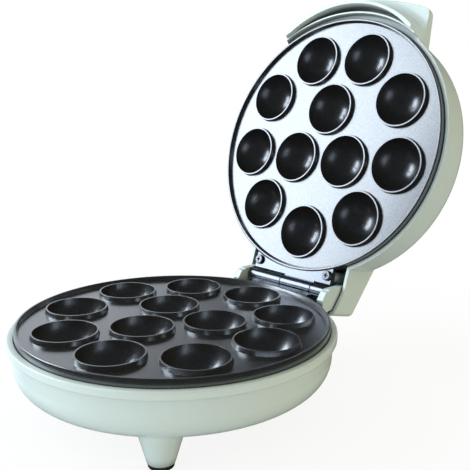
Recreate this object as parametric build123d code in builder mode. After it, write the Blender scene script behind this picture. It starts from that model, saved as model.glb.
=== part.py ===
from build123d import *
from math import cos, radians, sin, sqrt
import os

# Ball cake maker: a round countertop cooker with two cupped plates and a hinged lid.
# Pieces are drawn with the middle of the base over x = y = 0 on the worktop, +Z is up,
# the handle faces -Y and the hinge runs along X at the back. The lid is drawn closed and
# then turned open, which is how the cooker rests. At the end everything moves along Y
# until the origin is under the middle of the open cooker.

# Driving dimensions in millimetres
plate_radius = 100.0
rim_height = 58.0
body_depth = 37.5
lid_depth = 43.0
lip_drop = 5.0
shell_wall = 2.5
mouth_gap = 0.4
closing_gap = 0.1

# Cooking plates, measured down from the rim plane
rim_width = 1.8
rim_rounding = 0.7
floor_drop = 3.0
floor_slope = 1.0
plate_thickness = 2.5
skirt_depth = 9.0
skirt_thickness = 2.5
cup_radius = 19.3
cup_wall = 2.2
collar_width = 1.0
collar_flare = 0.6
outer_ring_inset = 29.3
outer_cup_count = 9
inner_ring_radius = 26.7
inner_cup_count = 3
boss_ring_radius = 35.0
boss_radius = 4.0
boss_count = 3

# Hinge
hinge_setback = 11.0
hinge_rise = 0.8
open_angle = 108.3
barrel_radius = 4.8
leaf_thickness = 1.5
leaf_recess = 0.3
leaf_half_width = 37.5
knuckle_ends = (-36.4, -6.4, 23.9, 37.5)
knuckle_gap = 0.8
pin_radius = 3.2
pin_clearance = 0.06
pin_head_thickness = 1.9
pin_end_reach = 0.9
lug_thickness = 2.9
lug_end_gap = 1.2
strip_overlap = 1.0
lower_lug_half_width = 28.5

# Screws: shank radius, head radius and head height
leaf_screw_radius = 1.8
leaf_screw_head_radius = 3.6
leaf_screw_head_height = 2.2
leaf_screw_length = 12.0
leaf_screw_spacing = 67.4
leaf_screw_inset = 12.0
leaf_screw_head_relief = 0.7
leaf_screw_boss_wall = 0.8
lower_leaf_screw_spacing = 40.0
lower_leaf_screw_inset = 8.6
plate_screw_radius = 1.8
plate_screw_head_radius = 3.6
plate_screw_head_height = 2.4
plate_screw_bite = 10.0
plate_screw_end_gap = 1.0
pillar_seat_height = 27.0
countersink_radius = 3.4
countersink_clearance = 0.1
countersunk_slot_length = 3.2
countersunk_slot_width = 0.8
countersunk_slot_depth = 1.0
screw_clearance = 0.2

# Heating parts
element_radius = 3.3
element_drop = 13.5
element_gap_angle = 40.0
element_tail = 9.0
element_bend = 6.0
rib_half_width = 2.6
reflector_drop = 26.0
reflector_sheet = 0.8
reflector_flange = 3.5
reflector_gap = 1.0
reflector_bend = 4.0

# Shells
body_corner_radius = 17.0
mouth_wall = 1.9
base_draft = 1.1
band_thickness = 2.0
band_height = 5.0
band_rounding = 0.9
lid_lip_wall = 2.8
lid_draft = 3.0
lid_crown = 3.0
ledge_reveal = 1.0
ledge_thickness = 3.0
pillar_radius = 5.5

# Ears beside the hinge barrel
ear_inner_x = 39.4
ear_outer_x = 44.6
ear_radius = 9.2
ear_top = 6.0
ear_depth = 15.2
ear_crown_depth = 11.2
ear_crown_fall = 1.0
ear_step_drop = 0.1
ear_brace_depth = 18.0
ear_brace_rise = 14.0
ear_throat_depth = 12.0
ear_throat_rise = 20.0
ear_underside_depth = 9.5

# Rear hump of the lid
hump_half_width = 48.0
hump_reach = 15.2
hump_wall = 2.4
hump_front_reach = 26.0
hump_front_run = 8.0
hump_front_rise = 2.0
hump_throat_depth = 3.0
hump_front_drop = 4.6
hump_rear_inset = 2.6
hump_rear_lean = 1.0
hump_rear_height = 20.2
hump_edge_drop = 3.0
hump_rounding = 4.0

# Handle, measured up from the rim plane of the closed lid
handle_half_width = 64.5
handle_foot_half_width = 59.5
handle_foot_drop = 4.0
handle_overhang = 5.5
handle_bow_radius = 190.0
handle_corner_radius = 7.0
handle_foot_bow_radius = 90.0
handle_grip_height = 9.0
handle_grip_rounding = 7.5
handle_tip_height = 12.0
handle_root_height = 18.0
handle_root_depth = 40.0
handle_slope_inset = 20.0
handle_skirt_gap = 0.2
handle_skirt_thickness = 1.3
handle_pocket_width = 5.0
handle_pocket_bow_radius = 84.0
handle_pocket_wall = 2.2
handle_pocket_depth = 11.0

# Pilot lamps
lamp_spacing = 18.0
lamp_y = -58.0
lens_head_radius = 4.5
lens_stem_radius = 3.4
lens_head_height = 1.6
lamp_seat_radius = 5.2
lamp_seat_share = 0.3
bulb_radius = 2.6
bulb_length = 12.0
bulb_clearance = 0.1

# Small inner parts
thermostat_radius = 7.5
thermostat_height = 9.0
blade_size = (0.8, 4.0, 5.0)
thermostat_gap = 0.472
fuse_offset = 15.3
fuse_size = (20.0, 6.5, 5.0)
terminal_size = (28.0, 12.0, 7.0)
terminal_inset = 20.0
gland_height = 32.0
gland_bore_radius = 3.0
gland_body_radius = 4.3
gland_flange_radius = 5.6
gland_flange_thickness = 2.0
gland_seat_radius = 7.0
gland_seat_height = 1.2

# Legs
front_leg_ring_radius = 80.0
rear_leg_x = 38.0
rear_leg_y = 78.0
leg_top_radius = 13.2
leg_foot_radius = 8.0
pad_height = 3.0
pad_radius = 7.4

# Derived places
hinge_y = plate_radius + hinge_setback
hinge_z = rim_height + hinge_rise
hinge_axis = Axis((0, hinge_y, hinge_z), (1, 0, 0))
mouth_radius = plate_radius + mouth_gap
base_top_radius = mouth_radius + mouth_wall
base_side_radius = base_top_radius - base_draft
band_radius = base_top_radius + band_thickness
lid_lip_radius = mouth_radius + lid_lip_wall
lid_side_radius = lid_lip_radius - lid_draft
ledge_drop = skirt_depth
ledge_inner_radius = plate_radius - skirt_thickness - ledge_reveal
reflector_radius = ledge_inner_radius - reflector_gap - reflector_flange
gland_seat_reach = base_side_radius + gland_seat_height
handle_skirt_inner_radius = band_radius + handle_skirt_gap
handle_skirt_radius = handle_skirt_inner_radius + handle_skirt_thickness
handle_foot_reach = handle_skirt_radius + handle_pocket_width + handle_pocket_wall
handle_reach = handle_foot_reach + handle_overhang
handle_root_y = lid_side_radius - handle_root_depth
base_floor = rim_height - body_depth
cup_outer_radius = cup_radius + cup_wall
outer_ring_radius = plate_radius - outer_ring_inset
element_ring_radius = (outer_ring_radius + inner_ring_radius) / 2
sensor_drop = floor_drop + plate_thickness
half_cup_angle = radians(180 / outer_cup_count)
half_cup_spacing = outer_ring_radius * sin(half_cup_angle)
thermostat_to_cup = thermostat_radius + sqrt(cup_outer_radius**2 - sensor_drop**2) + thermostat_gap
thermostat_outset = sqrt(max(thermostat_to_cup**2 - half_cup_spacing**2, 0))
thermostat_ring_radius = outer_ring_radius * cos(half_cup_angle) + thermostat_outset
fuse_ring_radius = outer_ring_radius + fuse_offset
lug_top = -leaf_recess - leaf_thickness
lug_end = hinge_y - barrel_radius - lug_end_gap
lug_bottom = lug_top - lug_thickness

outer_cups = PolarLocations(outer_ring_radius, outer_cup_count, start_angle=90)
inner_cups = PolarLocations(inner_ring_radius, inner_cup_count, start_angle=-90)
boss_places = PolarLocations(boss_ring_radius, boss_count, start_angle=90)

finished_pieces = []


def save(piece, name):
    """Label one finished piece and keep it for the files written at the end."""
    piece.label = name
    finished_pieces.append(piece)


def lift(piece):
    """Raise a piece drawn about the rim plane to its height in the base."""
    return Pos(0, 0, rim_height) * piece


def open_lid(piece):
    """Put a piece drawn about the rim plane on the closed lid, then swing the lid open."""
    return (Pos(0, 0, rim_height + closing_gap) * piece).rotate(hinge_axis, -open_angle)


def hang(piece):
    """Turn a piece drawn for the base upside down and give it to the open lid."""
    return open_lid(mirror(piece, about=Plane.XY))


def polar(radius, angle):
    """Point at an angle measured from +X towards +Y."""
    return (radius * cos(radians(angle)), radius * sin(radians(angle)))


# Cooking plate, cast in one piece: floor, raised rim, skirt, cups, rib for the element,
# screw bosses and the lug that carries the hinge leaf. The rim plane is z = 0.
def cooking_plate(lug_half_width, lug_holes):
    floor_bottom = -floor_drop - plate_thickness
    rib_bottom = -element_drop + element_radius / 2
    with BuildPart() as plate:
        with BuildSketch(Plane.XZ):
            with BuildLine():
                Polyline(
                    (0, -floor_drop),
                    (plate_radius - rim_width - floor_slope, -floor_drop),
                    (plate_radius - rim_width, 0),
                    (plate_radius, 0),
                    (plate_radius, -skirt_depth),
                    (plate_radius - skirt_thickness, -skirt_depth),
                    (plate_radius - skirt_thickness, floor_bottom),
                    (0, floor_bottom),
                    close=True,
                )
            make_face()
        revolve(axis=Axis.Z)
        rim_edges = plate.edges().filter_by(GeomType.CIRCLE).group_by(Axis.Z)[-1]
        fillet(rim_edges, rim_rounding)
        with BuildSketch(Plane.XY.offset(rib_bottom)):
            Circle(element_ring_radius + rib_half_width)
            Circle(element_ring_radius - rib_half_width, mode=Mode.SUBTRACT)
        extrude(amount=floor_bottom - rib_bottom)
        with BuildSketch(Plane.XY.offset(-reflector_drop)):
            with boss_places:
                Circle(boss_radius)
        extrude(until=Until.NEXT)
        for cups in (outer_cups, inner_cups):
            with cups:
                Sphere(
                    cup_outer_radius,
                    arc_size1=-90,
                    arc_size2=0,
                    align=(Align.CENTER, Align.CENTER, Align.MAX),
                )
        Cylinder(
            outer_ring_radius + cup_outer_radius + 1,
            floor_drop,
            align=(Align.CENTER, Align.CENTER, Align.MAX),
            mode=Mode.SUBTRACT,
        )
        for cups in (outer_cups, inner_cups):
            with cups:
                Cone(
                    cup_radius + collar_width + collar_flare,
                    cup_radius + collar_width,
                    floor_drop,
                    align=(Align.CENTER, Align.CENTER, Align.MAX),
                )
        with BuildSketch(Plane.XY.offset(lug_bottom)):
            with Locations((0, (lug_end + plate_radius - skirt_thickness) / 2)):
                Rectangle(2 * lug_half_width, lug_end - plate_radius + skirt_thickness)
            Circle(plate_radius - skirt_thickness, mode=Mode.SUBTRACT)
        extrude(amount=lug_thickness)
        for cups in (outer_cups, inner_cups):
            with cups:
                Sphere(cup_radius, mode=Mode.SUBTRACT)
        with Locations((0, 0, -element_drop)):
            Torus(element_ring_radius, element_radius + screw_clearance, mode=Mode.SUBTRACT)
        with Locations((0, 0, lug_top)):
            with Locations(*lug_holes):
                Hole(leaf_screw_radius, depth=lug_thickness)
        with BuildSketch(Plane.XY.offset(-reflector_drop)):
            with boss_places:
                Circle(plate_screw_radius)
        extrude(amount=plate_screw_bite, mode=Mode.SUBTRACT)
    return plate.part


upper_holes = [
    (side * leaf_screw_spacing / 2, hinge_y - leaf_screw_inset) for side in (-1, 1)
]
lower_holes = [
    (side * lower_leaf_screw_spacing / 2, hinge_y - lower_leaf_screw_inset) for side in (-1, 1)
]
save(lift(cooking_plate(lower_lug_half_width, lower_holes)), "lower_plate")
save(hang(cooking_plate(leaf_half_width, upper_holes)), "upper_plate")


# Heating element: a bent steel tube that runs round between the two rings of cups,
# with both ends turned down through the reflector.
def heating_element():
    half_gap = element_gap_angle / 2
    with BuildPart() as element:
        with BuildLine(Plane.XY.offset(-element_drop)) as path:
            ring = CenterArc((0, 0), element_ring_radius, 90 + half_gap, 360 - element_gap_angle)
            for end, way in ((ring @ 0, -(ring % 0)), (ring @ 1, ring % 1)):
                turned = end + way * element_bend - Vector(0, 0, element_bend)
                bend = TangentArc(end, turned, tangent=way)
                Line(bend @ 1, bend @ 1 - Vector(0, 0, element_tail))
        wire = path.wires()[0]
        with BuildSketch(Plane(origin=wire @ 0, z_dir=wire % 0)):
            Circle(element_radius)
        sweep(path=wire)
    return element.part


save(lift(heating_element()), "lower_element")
save(hang(heating_element()), "upper_element")


# Heat reflector: a pressed pan of bright sheet that sits on the plate's bosses, with a
# turned-out flange, screw holes and two holes for the element's ends.
def reflector():
    wall_top = -ledge_drop - ledge_thickness / 2
    bend = reflector_bend
    floor_top = -reflector_drop
    floor_bottom = floor_top - reflector_sheet
    inner = reflector_radius - reflector_sheet
    tail_angle = element_gap_angle / 2
    tail_x = element_ring_radius * sin(radians(tail_angle)) - element_bend * cos(radians(tail_angle))
    tail_y = element_ring_radius * cos(radians(tail_angle)) + element_bend * sin(radians(tail_angle))
    with BuildPart() as pan:
        with BuildSketch(Plane.XZ):
            with BuildLine():
                Polyline(
                    (0, floor_bottom),
                    (reflector_radius - bend, floor_bottom),
                    (reflector_radius, floor_bottom + bend),
                    (reflector_radius, wall_top - reflector_sheet),
                    (reflector_radius + reflector_flange, wall_top - reflector_sheet),
                    (reflector_radius + reflector_flange, wall_top),
                    (inner, wall_top),
                    (inner, floor_top + bend),
                    (inner - bend, floor_top),
                    (0, floor_top),
                    close=True,
                )
            make_face()
        revolve(axis=Axis.Z)
        with BuildSketch(Plane.XY.offset(floor_bottom)):
            with boss_places:
                Circle(plate_screw_radius + screw_clearance)
            with Locations((-tail_x, tail_y), (tail_x, tail_y)):
                Circle(element_radius + 1)
        extrude(amount=reflector_sheet, mode=Mode.SUBTRACT)
    return pan.part


save(lift(reflector()), "lower_reflector")
save(hang(reflector()), "upper_reflector")


# Cross-recess pan-head screws, drawn head up with the seat of the head at z = 0.
def screws(places, shank_radius, length, head_radius, head_height):
    recess_depth = head_height * 0.6
    recess_length = head_radius
    recess_width = head_radius * 0.28
    with BuildPart() as group:
        with Locations(*places):
            Cylinder(head_radius, head_height, align=(Align.CENTER, Align.CENTER, Align.MIN))
            Cylinder(shank_radius, length, align=(Align.CENTER, Align.CENTER, Align.MAX))
        top_edges = group.edges().filter_by(GeomType.CIRCLE).group_by(Axis.Z)[-1]
        fillet(top_edges, head_height * 0.35)
        with Locations((0, 0, head_height)):
            with Locations(*places):
                for long_side, short_side in (
                    (recess_length, recess_width),
                    (recess_width, recess_length),
                ):
                    Box(
                        long_side,
                        short_side,
                        recess_depth,
                        align=(Align.CENTER, Align.CENTER, Align.MAX),
                        mode=Mode.SUBTRACT,
                    )
    return group.part


boss_points = [polar(boss_ring_radius, 90 + turn * 360 / boss_count) for turn in range(boss_count)]

upper_leaf_screws = screws(
    upper_holes,
    leaf_screw_radius - screw_clearance,
    leaf_screw_length,
    leaf_screw_head_radius,
    leaf_screw_head_height,
)
save(hang(Pos(0, 0, -leaf_recess) * upper_leaf_screws), "upper_leaf_screws")

lower_screws = screws(
    boss_points,
    plate_screw_radius - screw_clearance,
    rim_height - reflector_drop + plate_screw_bite - plate_screw_end_gap - pillar_seat_height,
    plate_screw_head_radius,
    plate_screw_head_height,
)
save(Pos(0, 0, pillar_seat_height) * mirror(lower_screws, about=Plane.XY), "lower_plate_screws")

reflector_screws = screws(
    boss_points,
    plate_screw_radius - screw_clearance,
    plate_screw_bite - plate_screw_end_gap,
    plate_screw_head_radius,
    plate_screw_head_height,
)
reflector_back = -reflector_drop - reflector_sheet
save(
    hang(Pos(0, 0, reflector_back) * mirror(reflector_screws, about=Plane.XY)),
    "upper_reflector_screws",
)

# Countersunk screws that sink flush into the lower leaf.
with BuildPart() as countersunk:
    with Locations((0, 0, -leaf_recess)):
        with Locations(*lower_holes):
            Cone(
                leaf_screw_radius,
                countersink_radius,
                leaf_thickness,
                align=(Align.CENTER, Align.CENTER, Align.MAX),
            )
            Cylinder(
                leaf_screw_radius - screw_clearance,
                leaf_thickness + lug_thickness,
                align=(Align.CENTER, Align.CENTER, Align.MAX),
            )
            for long_side, short_side in (
                (countersunk_slot_length, countersunk_slot_width),
                (countersunk_slot_width, countersunk_slot_length),
            ):
                Box(
                    long_side,
                    short_side,
                    countersunk_slot_depth,
                    align=(Align.CENTER, Align.CENTER, Align.MAX),
                    mode=Mode.SUBTRACT,
                )
save(lift(countersunk.part), "lower_leaf_screws")


# Hinge leaf: a sheet wing that lies on the plate's lug, cut round to the rim, with its
# knuckles rolled about the pin. The pin's height differs for the two leaves.
def hinge_leaf(half_width, knuckles, pin_level, strip_start):
    wing_bottom = -leaf_recess - leaf_thickness
    with BuildPart() as leaf:
        with BuildSketch(Plane.XY.offset(wing_bottom)):
            with Locations((0, lug_end)):
                Rectangle(2 * half_width, lug_end, align=(Align.CENTER, Align.MAX))
            for start, end in knuckles:
                with Locations((start, strip_start)):
                    Rectangle(
                        end - start,
                        hinge_y - pin_radius - strip_start,
                        align=(Align.MIN, Align.MIN),
                    )
            Circle(plate_radius + mouth_gap, mode=Mode.SUBTRACT)
        extrude(amount=leaf_thickness)
        for start, end in knuckles:
            with BuildSketch(Plane.YZ.offset(start)):
                with Locations((hinge_y, pin_level)):
                    Circle(barrel_radius)
            extrude(amount=end - start)
        for start, end in knuckles:
            with BuildSketch(Plane.YZ.offset(start)):
                with Locations((hinge_y, pin_level)):
                    Circle(pin_radius + pin_clearance)
            extrude(amount=end - start, mode=Mode.SUBTRACT)
    return leaf.part


left_end, left_gap, right_gap, right_end = knuckle_ends
lower_knuckles = [(left_end, left_gap), (right_gap, right_end)]
upper_knuckles = [(left_gap + knuckle_gap, right_gap - knuckle_gap)]
strip_start = hinge_y - leaf_screw_inset + leaf_screw_head_radius + leaf_screw_head_relief

lower_leaf = hinge_leaf(lower_lug_half_width, lower_knuckles, hinge_rise, strip_start)
with BuildPart() as lower_wing:
    add(lower_leaf)
    with Locations((0, 0, -leaf_recess)):
        with Locations(*lower_holes):
            CounterSinkHole(leaf_screw_radius, countersink_radius + countersink_clearance, leaf_thickness)
save(lift(lower_wing.part), "lower_hinge_leaf")

upper_leaf = hinge_leaf(
    leaf_half_width, upper_knuckles, closing_gap - hinge_rise, lug_end - strip_overlap
)
with BuildPart() as upper_wing:
    add(upper_leaf)
    with Locations((0, 0, -leaf_recess)):
        with Locations(*upper_holes):
            Hole(leaf_screw_radius, depth=leaf_thickness)
save(hang(upper_wing.part), "upper_hinge_leaf")

# Hinge pin with one round head at its left end.
with BuildPart() as hinge_pin:
    with BuildSketch(Plane.YZ.offset(left_end - knuckle_gap)):
        with Locations((hinge_y, hinge_z)):
            Circle(pin_radius)
    extrude(amount=right_end - left_end + knuckle_gap + pin_end_reach)
    with BuildSketch(Plane.YZ.offset(left_end - knuckle_gap - pin_head_thickness)):
        with Locations((hinge_y, hinge_z)):
            Circle(barrel_radius)
    extrude(amount=pin_head_thickness)
save(hinge_pin.part, "hinge_pin")


# Revolved shell body, hollowed: a dish with a round lower corner, and a ledge inside its
# mouth that carries the plate's skirt. Levels are measured from the rim plane downwards.
def dish_profile(points, corner):
    """Face of a half section whose lowest outer corner is rounded."""
    with BuildSketch(Plane.XZ) as section:
        with BuildLine():
            Polyline(*points, close=True)
        make_face()
        lower_corner = section.vertices().sort_by(Axis.Y)[:2].sort_by(Axis.X)[-1]
        fillet(lower_corner, corner)
    return section.sketch


def shell_cavity(depth, side_radius, crown):
    """Solid of the room inside a shell, from the ledge down to the floor."""
    room_radius = side_radius - shell_wall
    with BuildPart() as room:
        add(
            dish_profile(
                [
                    (0, -ledge_drop - ledge_thickness),
                    (room_radius, -ledge_drop - ledge_thickness),
                    (room_radius, -depth + shell_wall),
                    (0, -depth + shell_wall - crown),
                ],
                body_corner_radius - shell_wall,
            )
        )
        revolve(axis=Axis.Z)
        with Locations((0, 0, -ledge_drop - ledge_thickness - 1)):
            Cylinder(
                ledge_inner_radius,
                ledge_thickness + 1,
                align=(Align.CENTER, Align.CENTER, Align.MIN),
            )
        with Locations((0, 0, -ledge_drop)):
            Cylinder(mouth_radius, ledge_drop, align=(Align.CENTER, Align.CENTER, Align.MIN))
    return room.part


# Base shell: one moulding with the rim band, four tapered legs, the two ears that guard
# the hinge barrel, three screw pillars and a seat for the cord gland.
front_leg_x, front_leg_y = polar(front_leg_ring_radius, -45)
leg_places = [
    (side * x, y)
    for x, y in ((front_leg_x, front_leg_y), (rear_leg_x, rear_leg_y))
    for side in (-1, 1)
]
band_bottom = rim_height - lip_drop - band_height
base_room = lift(shell_cavity(body_depth, base_side_radius, 0))

with BuildPart() as base_shell:
    add(
        dish_profile(
            [
                (0, base_floor),
                (base_side_radius, base_floor),
                (base_side_radius, base_floor + body_corner_radius + 1),
                (base_top_radius, band_bottom),
                (band_radius, band_bottom),
                (band_radius, rim_height - lip_drop),
                (0, rim_height - lip_drop),
            ],
            body_corner_radius,
        )
    )
    revolve(axis=Axis.Z)
    band_edges = base_shell.edges().filter_by(GeomType.CIRCLE).filter_by(
        lambda edge: abs(edge.radius - band_radius) < 0.01
    )
    fillet(band_edges, band_rounding)
    with Locations((0, 0, pad_height)):
        with Locations(*leg_places):
            Cone(
                leg_foot_radius,
                leg_top_radius,
                base_floor - pad_height,
                align=(Align.CENTER, Align.CENTER, Align.MIN),
            )
    with Locations((0, 0, base_floor)):
        with Locations(*leg_places):
            Cylinder(
                leg_top_radius,
                body_corner_radius,
                align=(Align.CENTER, Align.CENTER, Align.MIN),
            )
    with BuildSketch(Plane.YZ.offset(ear_inner_x)) as ear_outline:
        with BuildLine():
            Polyline(
                (hinge_y - ear_brace_depth, base_floor + ear_brace_rise),
                (hinge_y - ear_throat_depth, base_floor + ear_throat_rise),
                (hinge_y - ear_underside_depth, hinge_z - ear_radius - ear_crown_fall),
                (hinge_y, hinge_z - ear_radius),
                (hinge_y, rim_height + ear_top),
                (hinge_y - ear_crown_depth, rim_height + ear_top - ear_crown_fall),
                (hinge_y - ear_depth, rim_height - ear_crown_fall / 2),
                (hinge_y - ear_depth, rim_height - lip_drop - ear_step_drop),
                (hinge_y - ear_brace_depth, rim_height - lip_drop - ear_step_drop),
                close=True,
            )
        make_face()
        with Locations((hinge_y, hinge_z)):
            Circle(ear_radius)
        with Locations((hinge_y, rim_height + ear_top)):
            Rectangle(
                2 * ear_radius + 2,
                ear_radius,
                align=(Align.CENTER, Align.MIN),
                mode=Mode.SUBTRACT,
            )
    ear = extrude(amount=ear_outer_x - ear_inner_x)
    mirror(ear, about=Plane.YZ)
    with BuildSketch(Plane.XZ.offset(-gland_seat_reach)):
        with Locations((0, gland_height)):
            Circle(gland_seat_radius)
    extrude(amount=gland_seat_reach - base_side_radius + body_corner_radius)
    add(base_room, mode=Mode.SUBTRACT)
    with BuildSketch(Plane.XY.offset(base_floor + shell_wall / 2)):
        with boss_places:
            Circle(pillar_radius)
    extrude(amount=rim_height - reflector_drop - reflector_sheet - base_floor - shell_wall / 2)
    with BuildSketch(Plane.XY.offset(base_floor)):
        with boss_places:
            Circle(plate_screw_head_radius + screw_clearance)
    extrude(amount=pillar_seat_height - base_floor, mode=Mode.SUBTRACT)
    with BuildSketch(Plane.XY.offset(base_floor)):
        with boss_places:
            Circle(plate_screw_radius + screw_clearance)
    extrude(amount=rim_height - reflector_drop - base_floor, mode=Mode.SUBTRACT)
    with BuildSketch(Plane.XZ.offset(-gland_seat_reach)):
        with Locations((0, gland_height)):
            Circle(gland_body_radius + screw_clearance)
    extrude(amount=body_corner_radius, mode=Mode.SUBTRACT)
save(base_shell.part, "base_shell")

# Rubber pads on the feet.
for (x, y), name in zip(leg_places, ("front_left", "front_right", "rear_left", "rear_right")):
    with BuildPart() as pad:
        with BuildSketch():
            with Locations((x, y)):
                Circle(pad_radius)
        extrude(amount=pad_height)
        fillet(pad.edges().sort_by(Axis.Z)[0], pad_height / 3)
    save(pad.part, f"foot_pad_{name}")

# Gland: the bush that lines the cord's hole in the base's back wall.
with BuildPart() as cord_gland:
    with BuildSketch(Plane.XZ.offset(-gland_seat_reach)):
        with Locations((0, gland_height)):
            Circle(gland_flange_radius)
    extrude(amount=-gland_flange_thickness)
    with BuildSketch(Plane.XZ.offset(-gland_seat_reach)):
        with Locations((0, gland_height)):
            Circle(gland_body_radius)
    extrude(amount=body_corner_radius / 2)
    with BuildSketch(Plane.XZ.offset(-gland_seat_reach - gland_flange_thickness)):
        with Locations((0, gland_height)):
            Circle(gland_bore_radius)
    extrude(amount=body_corner_radius / 2 + gland_flange_thickness, mode=Mode.SUBTRACT)
save(cord_gland.part, "cord_gland")

# Terminal block on the base's floor, with three screw wells.
terminal_y = base_side_radius - body_corner_radius - terminal_inset
with BuildPart() as terminal_block:
    with Locations((0, terminal_y, base_floor + shell_wall)):
        Box(*terminal_size, align=(Align.CENTER, Align.CENTER, Align.MIN))
    with Locations((0, terminal_y, base_floor + shell_wall + terminal_size[2])):
        with GridLocations(terminal_size[0] / 3, 1, 3, 1):
            Cylinder(
                terminal_size[1] / 4,
                terminal_size[2] / 2,
                align=(Align.CENTER, Align.CENTER, Align.MAX),
                mode=Mode.SUBTRACT,
            )
save(terminal_block.part, "terminal_block")

# Thermostat: a disc switch with two blade terminals, held against the plate's underside.
sensor_level = -sensor_drop
sensor_angle = 90 + 180 / outer_cup_count
with BuildPart() as thermostat:
    with Locations((*polar(thermostat_ring_radius, sensor_angle), sensor_level)):
        Cylinder(
            thermostat_radius,
            thermostat_height,
            align=(Align.CENTER, Align.CENTER, Align.MAX),
        )
    with Locations((*polar(thermostat_ring_radius, sensor_angle), sensor_level - thermostat_height)):
        with GridLocations(thermostat_radius, 1, 2, 1):
            Box(*blade_size, align=(Align.CENTER, Align.CENTER, Align.MAX))
save(lift(thermostat.part), "thermostat")


# Thermal fuse in its ceramic case, one under each plate.
def thermal_fuse():
    fuse_angle = 90 - 180 / outer_cup_count
    fuse_x, fuse_y = polar(fuse_ring_radius, fuse_angle)
    with BuildPart() as fuse:
        with Locations(Location((fuse_x, fuse_y, sensor_level), (0, 0, fuse_angle - 90))):
            Box(*fuse_size, align=(Align.CENTER, Align.CENTER, Align.MAX))
    return fuse.part


save(lift(thermal_fuse()), "lower_thermal_fuse")
save(hang(thermal_fuse()), "upper_thermal_fuse")


# Handle of the lid, drawn on the closed lid with the rim plane at z = 0: a tongue with
# leaning sides and a bowed, round-cornered front, whose underside is scooped out for the
# fingers. The scoop is turned about the middle of the foot's bow.
def tongue_outline(level, half_width):
    """Plan of the handle at one level."""
    bow_centre = -handle_reach + handle_bow_radius
    side_end = bow_centre - sqrt(handle_bow_radius**2 - half_width**2)
    with BuildSketch(Plane.XY.offset(level)) as outline:
        with BuildLine():
            Line((half_width, -handle_root_y), (half_width, side_end))
            ThreePointArc((half_width, side_end), (0, -handle_reach), (-half_width, side_end))
            Line((-half_width, side_end), (-half_width, -handle_root_y))
            Line((-half_width, -handle_root_y), (half_width, -handle_root_y))
        make_face()
        fillet(outline.vertices().sort_by(Axis.Y)[:2], handle_corner_radius)
    return outline.sketch


foot_bow_y = handle_foot_bow_radius - handle_foot_reach
with BuildPart() as scoop:
    with BuildSketch(Plane.XZ) as scoop_section:
        with Locations((handle_foot_bow_radius, handle_grip_height)):
            Rectangle(
                handle_half_width,
                handle_grip_height + 2 * handle_foot_drop,
                align=(Align.MIN, Align.MAX),
            )
        inner_corners = scoop_section.vertices().sort_by(Axis.X)[:2]
        fillet(inner_corners.sort_by(Axis.Y)[-1], handle_grip_rounding)
    revolve(axis=Axis.Z)

with BuildPart() as tongue:
    lower_outline = tongue_outline(-handle_foot_drop, handle_foot_half_width)
    upper_outline = tongue_outline(handle_grip_height, handle_half_width)
    loft([lower_outline.face(), upper_outline.face()], ruled=True)
    extrude(upper_outline, amount=handle_root_height - handle_grip_height, dir=(0, 0, 1))
    add(Pos(0, foot_bow_y, 0) * scoop.part, mode=Mode.SUBTRACT)
    with BuildSketch(Plane.YZ):
        with BuildLine():
            Polyline(
                (-handle_reach - 1, handle_tip_height),
                (-base_side_radius + handle_slope_inset, handle_root_height),
                (-handle_reach - 1, handle_root_height),
                close=True,
            )
        make_face()
    extrude(amount=handle_half_width + 1, both=True, mode=Mode.SUBTRACT)

# Lid shell: one moulding with the domed top, the handle, the hump that covers the hinge
# from behind, the bosses for the leaf screws and two flat seats for the pilot lamps.
lid_room = mirror(shell_cavity(lid_depth, lid_side_radius, lid_crown), about=Plane.XY)
hump_edge = hinge_rise - hump_edge_drop
lamp_seat_level = lid_depth + lid_crown * lamp_seat_share
lamp_points = [(side * lamp_spacing / 2, lamp_y) for side in (-1, 1)]


def hump_section(inset):
    """Side view of the hump, or of the room inside it when inset by the wall."""
    front_y = hinge_y - hump_front_reach
    front_z = lid_depth - hump_front_drop
    back_y = hinge_y + hump_reach
    rear_y = back_y - hump_rear_inset
    rear_z = hinge_rise + hump_rear_height
    below = inset * hump_reach
    return [
        (front_y - hump_front_run, lip_drop - below),
        (hinge_y - hump_throat_depth, lip_drop - below),
        (back_y - inset, hump_edge - below),
        (rear_y + hump_rear_lean - inset, rear_z - inset),
        (front_y, front_z - inset),
        (front_y - hump_front_run, front_z + hump_front_rise - inset),
    ]


with BuildPart() as hump:
    with BuildSketch(Plane.YZ):
        with BuildLine():
            Polyline(*hump_section(0), close=True)
        make_face()
    extrude(amount=hump_half_width, both=True)
    rear_edges = hump.edges().filter_by(lambda edge: edge.center().Y > hinge_y + hump_reach / 2)
    fillet(
        rear_edges.filter_by(lambda edge: edge.center().Z > hump_edge + hump_rounding / 2),
        hump_rounding,
    )
    side_edges = hump.edges().filter_by(lambda edge: abs(edge.center().X) > hump_half_width / 2)
    roof_edges = side_edges.filter_by(
        lambda edge: edge.center().Z > hump_rear_height + hump_rounding
    )
    fillet(roof_edges.sort_by(Axis.Y)[-2:], hump_rounding / 2)

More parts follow.
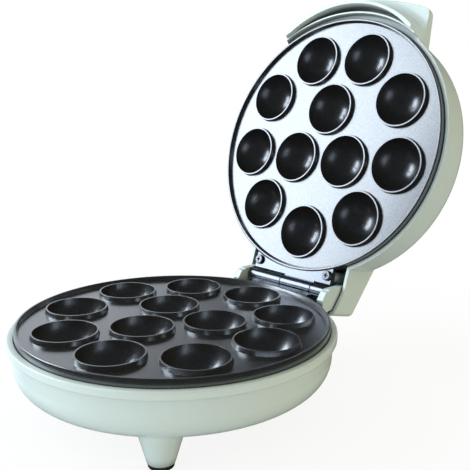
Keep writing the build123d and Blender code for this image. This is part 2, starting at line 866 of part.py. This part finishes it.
with BuildPart() as lid_shell:
    add(tongue)
    add(
        mirror(
            dish_profile(
                [
                    (0, -lid_depth - lid_crown),
                    (lid_side_radius, -lid_depth),
                    (lid_lip_radius, -lip_drop),
                    (0, -lip_drop),
                ],
                body_corner_radius,
            ),
            about=Plane.XY,
        )
    )
    revolve(axis=Axis.Z)
    add(hump)
    add(lid_room, mode=Mode.SUBTRACT)
    with BuildSketch(Plane.YZ):
        with BuildLine():
            Polyline(*hump_section(hump_wall), close=True)
        make_face()
    extrude(amount=hump_half_width - hump_wall, both=True, mode=Mode.SUBTRACT)
    with BuildSketch(Plane.XY.offset(lug_thickness + leaf_recess + leaf_thickness)):
        with Locations(*upper_holes):
            Circle(leaf_screw_head_radius + leaf_screw_boss_wall)
    extrude(until=Until.NEXT)
    with BuildSketch(Plane.XY.offset(lug_thickness + leaf_recess + leaf_thickness)):
        with Locations(*upper_holes):
            Circle(leaf_screw_radius)
    extrude(amount=leaf_screw_length, mode=Mode.SUBTRACT)
    with BuildSketch():
        with Locations((0, handle_pocket_bow_radius + handle_pocket_wall - handle_foot_reach)):
            Circle(handle_pocket_bow_radius)
        Circle(handle_skirt_radius, mode=Mode.SUBTRACT)
    extrude(amount=handle_pocket_depth, mode=Mode.SUBTRACT)
    with BuildSketch():
        with Locations((0, handle_pocket_bow_radius + handle_pocket_wall - handle_foot_reach)):
            Circle(handle_pocket_bow_radius)
        Circle(handle_skirt_radius)
    extrude(amount=-handle_foot_drop, mode=Mode.SUBTRACT)
    Cylinder(
        handle_skirt_inner_radius,
        lip_drop,
        align=(Align.CENTER, Align.CENTER, Align.MIN),
        mode=Mode.SUBTRACT,
    )
    with Locations((0, 0, lamp_seat_level)):
        with Locations(*lamp_points):
            Cylinder(
                lamp_seat_radius,
                lid_crown,
                align=(Align.CENTER, Align.CENTER, Align.MIN),
                mode=Mode.SUBTRACT,
            )
            Cylinder(lens_stem_radius + screw_clearance, 4 * shell_wall, mode=Mode.SUBTRACT)
save(open_lid(lid_shell.part), "lid_shell")

# Pilot lamps: a red lens and a green one on the lid, each with its neon bulb behind it.
for (x, y), colour in zip(lamp_points, ("red", "green")):
    with BuildPart() as lens:
        with Locations((x, y, lamp_seat_level)):
            Cylinder(
                lens_head_radius,
                lens_head_height,
                align=(Align.CENTER, Align.CENTER, Align.MIN),
            )
            Cylinder(
                lens_stem_radius,
                2 * shell_wall,
                align=(Align.CENTER, Align.CENTER, Align.MAX),
            )
        fillet(lens.edges().group_by(Axis.Z)[-1], lens_head_height * 0.6)
        with Locations((x, y, lamp_seat_level - shell_wall)):
            Cylinder(
                bulb_radius + bulb_clearance,
                4 * shell_wall,
                align=(Align.CENTER, Align.CENTER, Align.MAX),
                mode=Mode.SUBTRACT,
            )
    save(open_lid(lens.part), f"{colour}_lamp_lens")
    with BuildPart() as bulb:
        with Locations((x, y, lamp_seat_level - shell_wall)):
            Cylinder(
                bulb_radius,
                bulb_length,
                align=(Align.CENTER, Align.CENTER, Align.MAX),
            )
    save(open_lid(bulb.part), f"{colour}_lamp_bulb")

# Every piece goes to its own file, moved so that the origin is under the middle of all.
os.makedirs("parts", exist_ok=True)
boxes = [piece.bounding_box() for piece in finished_pieces]
middle_y = (min(box.min.Y for box in boxes) + max(box.max.Y for box in boxes)) / 2
for piece in finished_pieces:
    name = piece.label
    placed = Pos(0, -middle_y, 0) * piece
    placed.label = name
    export_step(placed, f"parts/{name}.step")
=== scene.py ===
from math import cos, radians, sin

import bmesh
import bpy
from mathutils import Matrix, Vector


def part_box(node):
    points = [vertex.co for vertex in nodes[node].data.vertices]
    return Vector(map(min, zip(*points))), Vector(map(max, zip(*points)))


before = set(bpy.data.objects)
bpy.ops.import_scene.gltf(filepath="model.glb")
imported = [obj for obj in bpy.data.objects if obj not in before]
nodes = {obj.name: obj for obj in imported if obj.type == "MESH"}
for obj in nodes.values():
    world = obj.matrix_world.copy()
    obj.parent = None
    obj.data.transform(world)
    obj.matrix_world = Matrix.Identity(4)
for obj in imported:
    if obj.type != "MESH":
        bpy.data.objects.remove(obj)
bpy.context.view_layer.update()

# Photo camera. A short telephoto view from the front right, a little above the plate. Its
# place is counted from the middle of the base, a plate's radius behind the plate's front edge.
plate_radius = 0.1
base_middle_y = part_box("lower_plate")[0][1] + plate_radius
camera_place = Vector((0.3383, base_middle_y - 0.2759, 0.2033))
azimuth = radians(45.074)
elevation = radians(8.282)
roll = radians(0.565)
photo_size = 470.0
focal_pixels = 695.8
principal_x = 243.97
principal_y = 191.17
film_width = 36.0
nearest_seen = 0.01
level_share = cos(elevation)
backwards = Vector((sin(azimuth) * level_share, -cos(azimuth) * level_share, sin(elevation)))
level_right = Vector((cos(azimuth), sin(azimuth), 0))
level_up = backwards.cross(level_right)
rolled_right = cos(roll) * level_right + sin(roll) * level_up
rolled_up = cos(roll) * level_up - sin(roll) * level_right
camera_data = bpy.data.cameras.new("photo_camera")
camera_data.sensor_width = film_width
camera_data.lens = focal_pixels / photo_size * film_width
camera_data.shift_x = (photo_size / 2 - principal_x) / photo_size
camera_data.shift_y = (principal_y - photo_size / 2) / photo_size
camera_data.clip_start = nearest_seen
camera = bpy.data.objects.new("photo_camera", camera_data)
camera_turn = Matrix((rolled_right, rolled_up, backwards)).transposed().to_4x4()
camera.matrix_world = Matrix.Translation(camera_place) @ camera_turn
bpy.context.collection.objects.link(camera)
bpy.context.scene.camera = camera
bpy.context.scene.view_settings.view_transform = "Standard"


# Studio lamps. A wide softbox stands in front on the left, where the lid's plate mirrors it.
# A weaker one, low in front, lights the base and its leg and shows in no reflection.
def softbox(name, aim, way, distance, size, watts, tint):
    """Rectangular lamp at a distance along a way from the point that it faces."""
    place = aim + distance * way.normalized()
    data = bpy.data.lights.new(name, "AREA")
    data.shape = "RECTANGLE"
    data.size, data.size_y = size
    data.energy = watts
    data.color = tint
    lamp = bpy.data.objects.new(name, data)
    facing = (place - aim).to_track_quat("Z", "Y").to_matrix().to_4x4()
    lamp.matrix_world = Matrix.Translation(place) @ facing
    bpy.context.collection.objects.link(lamp)
    return lamp


lid_middle = Vector((0, base_middle_y + 0.155, 0.16))
glare_way = Vector((-0.71, -0.61, 0.37))
key_size = (0.88, 1.06)
window_blue = (0.85, 0.93, 1.02)
softbox("key_softbox", lid_middle, glare_way, 1.5, key_size, watts=16.5, tint=window_blue)
base_middle = Vector((0, base_middle_y, 0.04))
front_way = Vector((-0.3, -0.9, 0.2))
fill_size = (1.0, 0.8)
daylight = (0.9, 0.96, 1.0)
fill = softbox("front_fill", base_middle, front_way, 1.6, fill_size, watts=9, tint=daylight)
fill.visible_glossy = False

# Studio room. The camera sees it white. Its soft light is cool on the left, from the window,
# and warm on the right. Shiny surfaces mirror a pale sweep on the left in a dim room.
world = bpy.data.worlds.new("white_room")
bpy.context.scene.world = world
world.use_nodes = True
room = world.node_tree
room.nodes.clear()
room_output = room.nodes.new("ShaderNodeOutputWorld")
looked_at = room.nodes.new("ShaderNodeTexCoord").outputs["Generated"]
light_path = room.nodes.new("ShaderNodeLightPath")


def room_light(strength, tint=(1, 1, 1)):
    """Light of one tint, its strength a number or the output of a node."""
    node = room.nodes.new("ShaderNodeBackground")
    node.inputs["Color"].default_value = (*tint, 1)
    if isinstance(strength, float):
        node.inputs["Strength"].default_value = strength
    else:
        room.links.new(strength, node.inputs["Strength"])
    return node.outputs[0]


def room_mix(share, first, second):
    """First light where the share is 0 and second light where it is 1."""
    node = room.nodes.new("ShaderNodeMixShader")
    room.links.new(share, node.inputs["Fac"])
    room.links.new(first, node.inputs[1])
    room.links.new(second, node.inputs[2])
    return node.outputs[0]


def room_slope(way, low_end, high_end, low, high):
    """Number that rises from low to high as the looked-at direction turns along a way."""
    along = room.nodes.new("ShaderNodeVectorMath")
    along.operation = "DOT_PRODUCT"
    along.inputs[1].default_value = way
    room.links.new(looked_at, along.inputs[0])
    slope = room.nodes.new("ShaderNodeMapRange")
    slope.interpolation_type = "SMOOTHSTEP"
    slope.inputs["From Min"].default_value = low_end
    slope.inputs["From Max"].default_value = high_end
    slope.inputs["To Min"].default_value = low
    slope.inputs["To Max"].default_value = high
    room.links.new(along.outputs["Value"], slope.inputs["Value"])
    return slope.outputs["Result"]


mirrored = room.nodes.new("ShaderNodeMath")
mirrored.operation = "MAXIMUM"
room.links.new(light_path.outputs["Is Glossy Ray"], mirrored.inputs[0])
room.links.new(light_path.outputs["Is Transmission Ray"], mirrored.inputs[1])
sweep_way = (-0.97, 0.24, 0)
sweep = room_light(room_slope(sweep_way, 0.78, 0.93, low=0.04, high=1.0), (0.86, 0.93, 1.0))
cool_light = room_light(0.78, (0.78, 0.94, 1.05))
warm_light = room_light(0.9, (1.07, 0.97, 0.66))
warm_share = room_slope(level_right, -0.25, 0.45, low=0.0, high=1.0)
soft_light = room_mix(warm_share, cool_light, warm_light)
cast_light = room_mix(mirrored.outputs[0], soft_light, sweep)
seen_light = room_mix(light_path.outputs["Is Camera Ray"], cast_light, room_light(1.0))
room.links.new(seen_light, room_output.inputs["Surface"])

# Floor. A round sheet of matt white board under the cooker, wide enough to fill the view.
# It fades to plain white away from the cooker, so that the soft shadow stays near the feet.
board_radius = 8.0
board_corners = 64
board_grey = 0.9
board_roughness = 0.9
fade_start = 0.15
fade_end = 0.4
least_fade = 0.88
floor_mesh = bpy.data.meshes.new("white_floor")
floor_shape = bmesh.new()
bmesh.ops.create_circle(floor_shape, cap_ends=True, radius=board_radius, segments=board_corners)
floor_shape.to_mesh(floor_mesh)
floor_shape.free()
floor = bpy.data.objects.new("white_floor", floor_mesh)
bpy.context.collection.objects.link(floor)
floor_paint = bpy.data.materials.new("matt_white_board")
floor_paint.use_nodes = True
board = floor_paint.node_tree
board_shader = board.nodes["Principled BSDF"]
board_shader.inputs["Base Color"].default_value = (board_grey, board_grey, board_grey, 1)
board_shader.inputs["Roughness"].default_value = board_roughness
plain_white = board.nodes.new("ShaderNodeEmission")
board_place = board.nodes.new("ShaderNodeTexCoord").outputs["Object"]
from_middle = board.nodes.new("ShaderNodeVectorMath")
from_middle.operation = "LENGTH"
board.links.new(board_place, from_middle.inputs[0])
fade = board.nodes.new("ShaderNodeMapRange")
fade.interpolation_type = "SMOOTHSTEP"
fade.inputs["From Min"].default_value = fade_start
fade.inputs["From Max"].default_value = fade_end
fade.inputs["To Min"].default_value = least_fade
board.links.new(from_middle.outputs["Value"], fade.inputs["Value"])
seen_fade = board.nodes.new("ShaderNodeMath")
seen_fade.operation = "MULTIPLY"
board_path = board.nodes.new("ShaderNodeLightPath")
board.links.new(fade.outputs["Result"], seen_fade.inputs[0])
board.links.new(board_path.outputs["Is Camera Ray"], seen_fade.inputs[1])
board_mix = board.nodes.new("ShaderNodeMixShader")
board.links.new(seen_fade.outputs[0], board_mix.inputs["Fac"])
board.links.new(board_shader.outputs[0], board_mix.inputs[1])
board.links.new(plain_white.outputs[0], board_mix.inputs[2])
board.links.new(board_mix.outputs[0], board.nodes["Material Output"].inputs["Surface"])
floor_mesh.materials.append(floor_paint)
floor.visible_glossy = False


# Base and lid shells. Injection-moulded plastic in a pale mint, polished in the mould, with a
# faint orange-peel in the gloss and softly rounded edges. Painted shade darkens the joints
# between them and their hollows, such as the handle's pocket.
class Finish:
    """A material under construction: its node tree, its shader and its object coordinates."""

    def __init__(self, name, metallic=0.0):
        self.material = bpy.data.materials.new(name)
        self.material.use_nodes = True
        self.tree = self.material.node_tree
        self.shader = self.tree.nodes["Principled BSDF"]
        self.shader.inputs["Metallic"].default_value = metallic
        self.place = self.tree.nodes.new("ShaderNodeTexCoord").outputs["Object"]

    def set(self, **values):
        """Give the shader plain values, named as its inputs are."""
        for name, value in values.items():
            self.shader.inputs[name.replace("_", " ")].default_value = value

    def feed(self, socket, source):
        """Let a pattern drive one of the shader's inputs."""
        self.tree.links.new(source, self.shader.inputs[socket])

    def stretched(self, scale):
        """Object coordinates stretched along the axes, for grain that runs one way."""
        mapping = self.tree.nodes.new("ShaderNodeMapping")
        mapping.inputs["Scale"].default_value = scale
        self.tree.links.new(self.place, mapping.inputs["Vector"])
        return mapping.outputs["Vector"]

    def noise(self, scale, detail, vector=None):
        """Cloudy pattern of 0 to 1 with so many clouds to the metre."""
        texture = self.tree.nodes.new("ShaderNodeTexNoise")
        texture.inputs["Scale"].default_value = scale
        texture.inputs["Detail"].default_value = detail
        self.tree.links.new(vector or self.place, texture.inputs["Vector"])
        return texture.outputs["Fac"]

    def spread(self, source, low, high, start=0.3, end=0.7):
        """Number that goes from low to high as a pattern rises from start to end."""
        scale = self.tree.nodes.new("ShaderNodeMapRange")
        scale.inputs["From Min"].default_value = start
        scale.inputs["From Max"].default_value = end
        scale.inputs["To Min"].default_value = low
        scale.inputs["To Max"].default_value = high
        self.tree.links.new(source, scale.inputs["Value"])
        return scale.outputs["Result"]

    def blend(self, source, first, second, start=0.3, end=0.7):
        """Colour that goes from first to second as a pattern rises from start to end."""
        ramp = self.tree.nodes.new("ShaderNodeValToRGB")
        ramp.color_ramp.elements[0].position = start
        ramp.color_ramp.elements[0].color = (*first, 1)
        ramp.color_ramp.elements[1].position = end
        ramp.color_ramp.elements[1].color = (*second, 1)
        self.tree.links.new(source, ramp.inputs["Fac"])
        return ramp.outputs["Color"]

    def paint_recess_shade(self, colour, depth, darkest, start=0.35, end=0.85):
        """The same colour with painted shade, down to the darkest share of it inside gaps of about this
        depth.
        """
        # Painted shade: ambient occlusion darkens the colour in gaps and hollows, where less light
        # falls.
        openness = self.tree.nodes.new("ShaderNodeAmbientOcclusion")
        openness.inputs["Distance"].default_value = depth
        share = self.spread(openness.outputs["AO"], darkest, 1.0, start, end)
        shaded = self.tree.nodes.new("ShaderNodeVectorMath")
        shaded.operation = "SCALE"
        self.tree.links.new(colour, shaded.inputs[0])
        self.tree.links.new(share, shaded.inputs["Scale"])
        return shaded.outputs["Vector"]

    def measure(self, operation, first, second):
        """Number worked out from two vectors, the second of which may be written out."""
        node = self.tree.nodes.new("ShaderNodeVectorMath")
        node.operation = operation
        self.tree.links.new(first, node.inputs[0])
        if isinstance(second, tuple):
            node.inputs[1].default_value = second
        else:
            self.tree.links.new(second, node.inputs[1])
        return node.outputs["Value"]

    def near(self, middle, reach):
        """1 around a place in object coordinates, falling to 0 at its reach."""
        distance = self.measure("DISTANCE", self.place, middle)
        return self.spread(distance, 1.0, 0.0, 0.6 * reach, reach)

    def leaning(self, angle):
        """0 where the smooth normal leans less than this from the flat face, 1 well past it."""
        surface = self.tree.nodes.new("ShaderNodeNewGeometry")
        smooth = surface.outputs["Normal"]
        flat = surface.outputs["True Normal"]
        likeness = self.measure("DOT_PRODUCT", smooth, flat)
        return self.spread(likeness, 1.0, 0.0, cos(1.5 * angle), cos(angle))

    def flatten(self, smooth, share):
        """Normal that goes over to the flat face where the mesh's smooth normals meet askew."""
        mix = self.tree.nodes.new("ShaderNodeMix")
        mix.data_type = "VECTOR"
        ends = [socket for socket in mix.inputs if socket.enabled and socket.type == "VECTOR"]
        mixed = next(socket for socket in mix.outputs if socket.enabled)
        flat = self.tree.nodes.new("ShaderNodeNewGeometry").outputs["True Normal"]
        self.tree.links.new(share, mix.inputs["Factor"])
        self.tree.links.new(smooth, ends[0])
        self.tree.links.new(flat, ends[1])
        return mixed

    def relief(self, source, height, rounding, flat_share=None):
        """Bump of the given height in metres, over edges rounded by the shader."""
        soft = self.tree.nodes.new("ShaderNodeBevel")
        soft.inputs["Radius"].default_value = rounding
        normal = soft.outputs["Normal"]
        if flat_share:
            normal = self.flatten(normal, flat_share)
        bump = self.tree.nodes.new("ShaderNodeBump")
        bump.inputs["Strength"].default_value = 1.0
        bump.inputs["Distance"].default_value = height
        self.tree.links.new(source, bump.inputs["Height"])
        self.tree.links.new(normal, bump.inputs["Normal"])
        self.feed("Normal", bump.outputs["Normal"])

    def dress(self, *names):
        """Give this finish to the CAD nodes of these names."""
        for name in names:
            for slot in nodes[name].material_slots:
                slot.material = self.material


mint = Finish("mint_gloss_plastic")
deep_mint = (0.58, 0.65, 0.63)
pale_mint = (0.6, 0.67, 0.65)
mint_shade_depth = 0.012
mint_tint = mint.blend(mint.noise(9, 3), deep_mint, pale_mint)
# Painted shade: the mint darkens to 0.15 of itself in joints and hollows up to 12 mm deep.
mint.feed("Base Color", mint.paint_recess_shade(mint_tint, mint_shade_depth, 0.15, start=0.2, end=0.75))
mint.feed("Roughness", mint.spread(mint.noise(200, 3), 0.22, 0.27))
dome_middle = (0, 0.1341, 0.15)
dome_facet = 0.0135
dome_share = mint.near(dome_middle, dome_facet)
mint.relief(mint.noise(700, 1), height=0.000012, rounding=0.0006, flat_share=dome_share)
mint.dress("base_shell", "lid_shell")

# Cooking plates. Die-cast aluminium under a sprayed black non-stick coating, satin with a fine
# pebbled grain, which mirrors the softbox on the open lid. Each plate's skirt stands on a
# ledge in its shell.
coating = Finish("black_non_stick_coating")
warm_black = (0.007, 0.005, 0.004)
worn_black = (0.014, 0.011, 0.009)
cool_sheen = (0.86, 0.93, 1.0, 1)
askew = radians(7)
coating.set(IOR=2.4, Specular_Tint=cool_sheen)
coating.set(Coat_Weight=1.0, Coat_Roughness=0.18, Coat_IOR=1.7)
coating.feed("Base Color", coating.blend(coating.noise(300, 4), warm_black, worn_black))
coating.feed("Roughness", coating.spread(coating.noise(900, 3), 0.28, 0.33))
pebbles = coating.noise(1100, 3)
coating.feed("Specular IOR Level", coating.spread(pebbles, 0.38, 0.6))
coating.relief(pebbles, height=0.000016, rounding=0.0004, flat_share=coating.leaning(askew))
coating.dress("lower_plate", "upper_plate")

# Hinge leaves and pin. Rolled steel with fine drawing lines along the hinge. The leaves lie on
# the plates' lugs, with their knuckles curled round the pin. Painted shade blackens the gaps
# between them and the rings round the screw heads.
steel = Finish("bright_rolled_steel", metallic=1.0)
dull_steel = (0.18, 0.195, 0.22)
bright_steel = (0.235, 0.255, 0.29)
hinge_shade_depth = 0.002
drawing_lines = steel.noise(40, 4, steel.stretched((1, 40, 40)))
rolled_grey = steel.blend(drawing_lines, dull_steel, bright_steel)
# Painted shade: the steel darkens to a tenth of itself in gaps about 2 mm deep.
steel.feed("Base Color", steel.paint_recess_shade(rolled_grey, hinge_shade_depth, 0.1))
steel.feed("Roughness", steel.spread(drawing_lines, 0.2, 0.3))
steel.relief(drawing_lines, height=0.000002, rounding=0.0002)
steel.dress("lower_hinge_leaf", "upper_hinge_leaf", "hinge_pin")

# Screws. Zinc-plated steel, a little duller than the hinge, with painted shade darkening their
# cross recesses. They hold the leaves to the plates and shells, the lower plate to the base and
# the reflector in the lid.
plated = Finish("zinc_plated_steel", metallic=1.0)
dull_zinc = (0.2, 0.21, 0.23)
bright_zinc = (0.27, 0.28, 0.3)
recess_shade_depth = 0.002
tarnish = plated.noise(250, 3)
zinc_grey = plated.blend(tarnish, dull_zinc, bright_zinc)
# Painted shade: the zinc darkens to a twentieth of itself in the cross recesses and round the heads.
plated.feed("Base Color", plated.paint_recess_shade(zinc_grey, recess_shade_depth, 0.05))
plated.feed("Roughness", plated.spread(tarnish, 0.28, 0.42))
plated.relief(tarnish, height=0.00001, rounding=0.0002)
plated.dress("upper_leaf_screws", "lower_leaf_screws", "lower_plate_screws", "upper_reflector_screws")

# Foot pads and cord gland. Black moulded rubber, dull and slightly dusty. The pads sit under
# the four legs and the gland lines the cord's hole in the base's back wall.
rubber = Finish("black_rubber")
clean_rubber = (0.012, 0.012, 0.012)
dusty_rubber = (0.035, 0.034, 0.033)
dust = rubber.noise(180, 4)
rubber.feed("Base Color", rubber.blend(dust, clean_rubber, dusty_rubber))
rubber.feed("Roughness", rubber.spread(dust, 0.6, 0.8))
rubber.relief(dust, height=0.00003, rounding=0.0003)
rubber.dress("foot_pad_front_left", "foot_pad_front_right", "foot_pad_rear_left", "foot_pad_rear_right")
rubber.dress("cord_gland")

# Heat reflectors. Pressed pans screwed to the plates' bosses: steel sheet in the base and
# aluminium in the lid, both bright when new and straw-coloured where the element heats them.
pan = Finish("heated_reflector_sheet", metallic=1.0)
bright_sheet = (0.62, 0.62, 0.61)
straw_stain = (0.55, 0.46, 0.33)
heat_stain = pan.noise(14, 5)
pan.feed("Base Color", pan.blend(heat_stain, bright_sheet, straw_stain, start=0.45, end=0.75))
pan.feed("Roughness", pan.spread(pan.noise(90, 3), 0.28, 0.42))
pan.relief(pan.noise(400, 2), height=0.00001, rounding=0.0003)
pan.dress("lower_reflector", "upper_reflector")

# Heating elements. Steel tube packed with powder round a coil, tinted blue-brown by heat. Each
# is bent to a ring that lies in the groove of its plate's rib.
tube = Finish("heat_tinted_tube", metallic=1.0)
blue_tint = (0.16, 0.14, 0.15)
brown_tint = (0.36, 0.28, 0.2)
tube.feed("Base Color", tube.blend(tube.noise(30, 4), blue_tint, brown_tint))
tube.feed("Roughness", tube.spread(tube.noise(200, 3), 0.38, 0.55))
tube.relief(tube.noise(900, 2), height=0.00001, rounding=0.0002)
tube.dress("lower_element", "upper_element")


# Small electrical pieces. An off-white moulded terminal block on the base's floor, a brown
# moulded thermostat against the lower plate and fuses in white ceramic cases, one per plate.
def moulded(name, dark, light, roughness, grain, *pieces):
    """Speckled moulded finish for small pieces, its grain given in specks to the metre."""
    finish = Finish(name)
    speckle = finish.noise(grain, 3)
    finish.feed("Base Color", finish.blend(speckle, dark, light))
    finish.feed("Roughness", finish.spread(speckle, roughness - 0.08, roughness + 0.08))
    finish.relief(speckle, height=0.00001, rounding=0.0002)
    finish.dress(*pieces)
    return finish


block_shade = (0.66, 0.63, 0.54)
block_white = (0.72, 0.69, 0.6)
moulded("off_white_plastic", block_shade, block_white, 0.4, 200, "terminal_block")
dark_phenolic = (0.09, 0.05, 0.028)
brown_phenolic = (0.13, 0.075, 0.04)
moulded("brown_phenolic", dark_phenolic, brown_phenolic, 0.45, 400, "thermostat")
ceramic_shade = (0.7, 0.69, 0.65)
ceramic_white = (0.8, 0.79, 0.76)
fuses = ("lower_thermal_fuse", "upper_thermal_fuse")
moulded("white_ceramic", ceramic_shade, ceramic_white, 0.5, 500, *fuses)


# Pilot lamps. Clear coloured plastic lenses, red and green, pressed into flat seats on the
# lid, each over a small neon bulb of clear glass.
def lens_plastic(name, dark, light, lens):
    """Clear coloured plastic for one lens."""
    finish = moulded(name, dark, light, 0.18, 300, lens)
    finish.set(Transmission_Weight=0.55, IOR=1.49)


deep_red = (0.5, 0.02, 0.015)
bright_red = (0.62, 0.035, 0.02)
lens_plastic("red_lens_plastic", deep_red, bright_red, "red_lamp_lens")
deep_green = (0.02, 0.3, 0.06)
bright_green = (0.035, 0.42, 0.09)
lens_plastic("green_lens_plastic", deep_green, bright_green, "green_lamp_lens")
glass_shade = (0.75, 0.7, 0.66)
glass_white = (0.85, 0.8, 0.75)
bulbs = ("red_lamp_bulb", "green_lamp_bulb")
bulb_glass = moulded("neon_bulb_glass", glass_shade, glass_white, 0.12, 100, *bulbs)
bulb_glass.set(Transmission_Weight=0.7, IOR=1.5)
